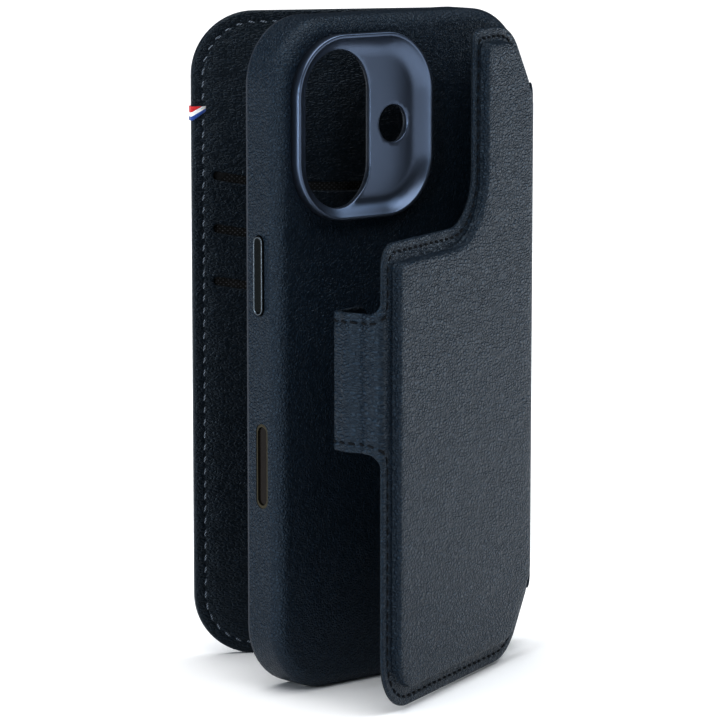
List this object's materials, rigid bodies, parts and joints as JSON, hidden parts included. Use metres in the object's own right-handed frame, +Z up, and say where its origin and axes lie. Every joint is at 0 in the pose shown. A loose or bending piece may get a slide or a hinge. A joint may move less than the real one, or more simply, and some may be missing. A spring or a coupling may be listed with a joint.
{
  "type": "phone wallet case",
  "caption": "Leather folio wallet with a stepped back panel, closure tab and card-slot cover, round a clip-on phone case with a camera surround.",
  "frame": {"origin": "middle of the phone case's foot, on the surface that it stands on", "axes": "+Z up along the case, -Y the camera side, +X the spine side"},
  "size_m": [0.0829, 0.0789, 0.1539],
  "materials": {
    "leather": "smooth fine-grain navy leather, semi-matt",
    "inner_leather": "smooth fine-grain navy leather, matt",
    "shell_plastic": "moulded polycarbonate",
    "lining_fabric": "short-pile microfibre",
    "magnet": "nickel-plated magnets",
    "anodised_ring": "satin blue-grey anodised",
    "button_metal": "dark anodised, polished edge",
    "pad_frame": "olive anodised",
    "pad_insert": "dark brown gloss",
    "board": "stiff fibre board",
    "thread": "waxed polyester thread",
    "steel_plate": "thin steel plate",
    "mesh_fabric": "black mesh",
    "ribbon": "woven red, white and blue ribbon"
  },
  "bodies": {
    "phone_case": {"case_leather": "leather", "case_shell": "shell_plastic", "case_lining": "lining_fabric", "case_magnets": "magnet", "case_align_magnet": "magnet", "camera_ring": "anodised_ring", "camera_pad_frame": "pad_frame"},
    "power_key": {"power_button": "button_metal"},
    "camera_key": {"camera_control_pad": "pad_insert"},
    "action_key": {"action_button": "button_metal"},
    "volume_up_key": {"volume_up_button": "button_metal"},
    "volume_down_key": {"volume_down_button": "button_metal"},
    "back_panel": {"flap_leather": "leather", "flap_board": "board", "flap_lining": "inner_leather", "flap_magnets": "magnet", "flap_align_magnet": "magnet", "flap_stitching": "thread"},
    "closure_tab": {"tab_leather": "leather", "tab_lining": "inner_leather", "tab_magnet": "magnet"},
    "spine": {"spine_leather": "leather", "spine_board": "board", "spine_lining": "inner_leather"},
    "front_cover": {"cover_leather": "leather", "cover_board": "board", "cover_plate": "steel_plate", "cover_inner_leather": "inner_leather", "pocket_mesh_low": "mesh_fabric", "pocket_mesh_middle": "mesh_fabric", "pocket_mesh_high": "mesh_fabric", "cover_stitching": "thread", "ribbon_tag": "ribbon"}
  },
  "joints": [
    {"name": "back_panel_fold", "type": "hinge", "parent": "phone_case", "child": "back_panel", "pos_m": [0.039, -0.0065, 0.077], "axis": [0, 0, 1], "range_deg": [-22.1, 67.9], "deforming": ["tab_leather", "tab_lining", "tab_magnet"]},
    {"name": "spine_fold", "type": "hinge", "parent": "phone_case", "child": "spine", "pos_m": [0.039, -0.0065, 0.077], "axis": [0, 0, -1], "range_deg": [-19.7, 70.3]},
    {"name": "cover_fold", "type": "hinge", "parent": "spine", "child": "front_cover", "pos_m": [0.04369, 0.00659, 0.077], "axis": [0, 0, -1], "range_deg": [-6.6, 173.4]},
    {"name": "tab_fold", "type": "hinge", "parent": "back_panel", "child": "closure_tab", "pos_m": [-0.03451, -0.03624, 0.075], "axis": [0, 0, -1], "range_deg": [-100, 0]},
    {"name": "power_press", "type": "slide", "parent": "phone_case", "child": "power_key", "axis": [1, 0, 0], "range_m": [0, 0.00035], "stiffness_N_per_m": 900},
    {"name": "camera_press", "type": "slide", "parent": "phone_case", "child": "camera_key", "axis": [1, 0, 0], "range_m": [0, 0.0002], "stiffness_N_per_m": 1500},
    {"name": "action_press", "type": "slide", "parent": "phone_case", "child": "action_key", "axis": [-1, 0, 0], "range_m": [0, 0.0003], "stiffness_N_per_m": 900},
    {"name": "volume_up_press", "type": "slide", "parent": "phone_case", "child": "volume_up_key", "axis": [-1, 0, 0], "range_m": [0, 0.0003], "stiffness_N_per_m": 900},
    {"name": "volume_down_press", "type": "slide", "parent": "phone_case", "child": "volume_down_key", "axis": [-1, 0, 0], "range_m": [0, 0.0003], "stiffness_N_per_m": 900}
  ]
}
